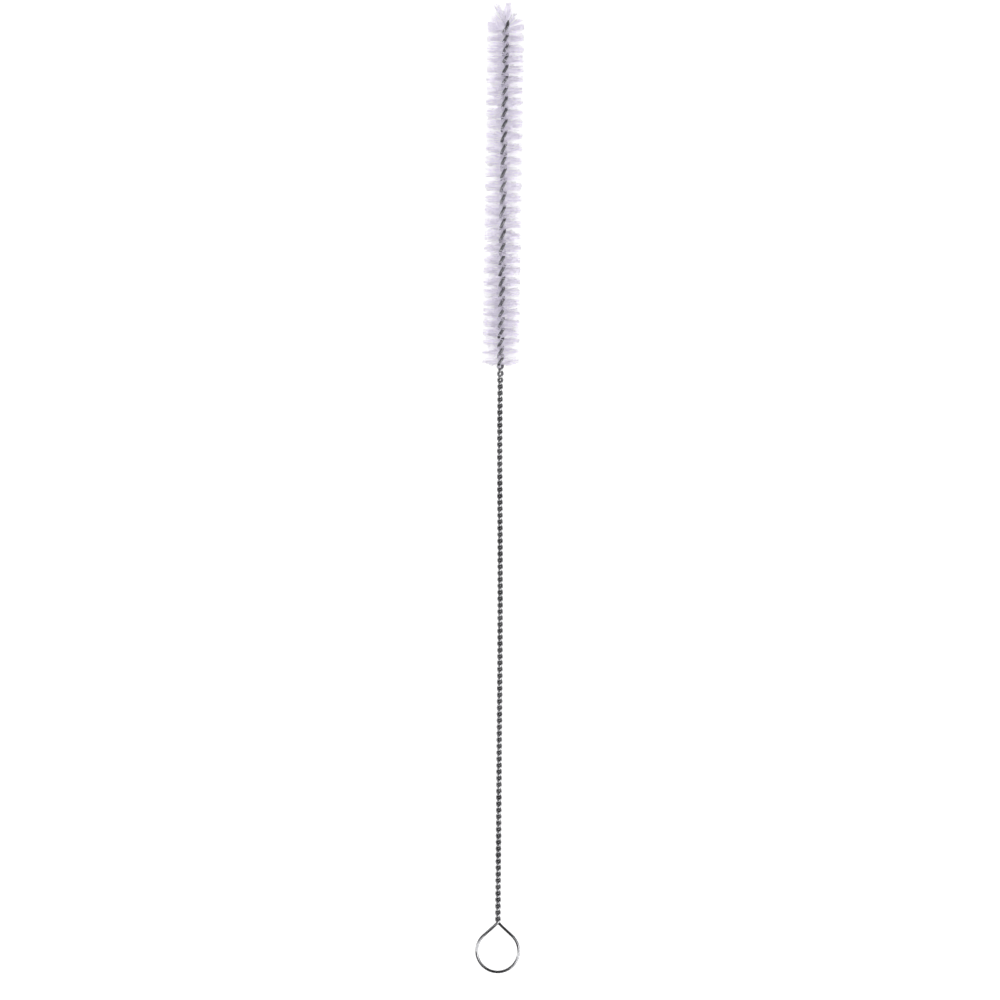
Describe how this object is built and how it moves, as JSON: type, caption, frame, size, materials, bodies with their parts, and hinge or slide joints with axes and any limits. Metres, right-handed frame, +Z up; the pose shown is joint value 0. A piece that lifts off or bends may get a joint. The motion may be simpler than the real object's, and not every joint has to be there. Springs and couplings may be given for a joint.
{
  "type": "bottle brush",
  "caption": "Slim twisted-wire brush for straws and tubes: nylon bristles along one end, bare twisted stem, round hanging loop at the other.",
  "frame": {"origin": "on the floor under the middle of the brush's bounding box, as it lies at rest", "axes": "+Z up, +Y along the brush from its hanging loop to its bristled tip, rising 1.7 degrees, +X to the side with the tip away from the viewer"},
  "size_m": [0.0142, 0.3041, 0.015],
  "materials": {
    "wire": "bright drawn stainless wire",
    "bristles": "translucent pale lavender nylon filament"
  },
  "bodies": {
    "root": {"wire": "wire", "bristle_tuft_01": "bristles", "bristle_tuft_02": "bristles", "bristle_tuft_03": "bristles", "bristle_tuft_04": "bristles", "bristle_tuft_05": "bristles", "bristle_tuft_06": "bristles", "bristle_tuft_07": "bristles", "bristle_tuft_08": "bristles", "bristle_tuft_09": "bristles", "bristle_tuft_10": "bristles", "bristle_tuft_11": "bristles", "bristle_tuft_12": "bristles", "bristle_tuft_13": "bristles", "bristle_tuft_14": "bristles", "bristle_tuft_15": "bristles", "bristle_tuft_16": "bristles", "bristle_tuft_17": "bristles", "bristle_tuft_18": "bristles", "bristle_tuft_19": "bristles", "bristle_tuft_20": "bristles", "bristle_tuft_21": "bristles", "bristle_tuft_22": "bristles", "bristle_tuft_23": "bristles", "bristle_tuft_24": "bristles", "bristle_tuft_25": "bristles", "bristle_tuft_26": "bristles", "bristle_tuft_27": "bristles", "bristle_tuft_28": "bristles", "bristle_tuft_29": "bristles", "bristle_tuft_30": "bristles", "bristle_tuft_31": "bristles", "bristle_crown": "bristles"}
  },
  "joints": []
}
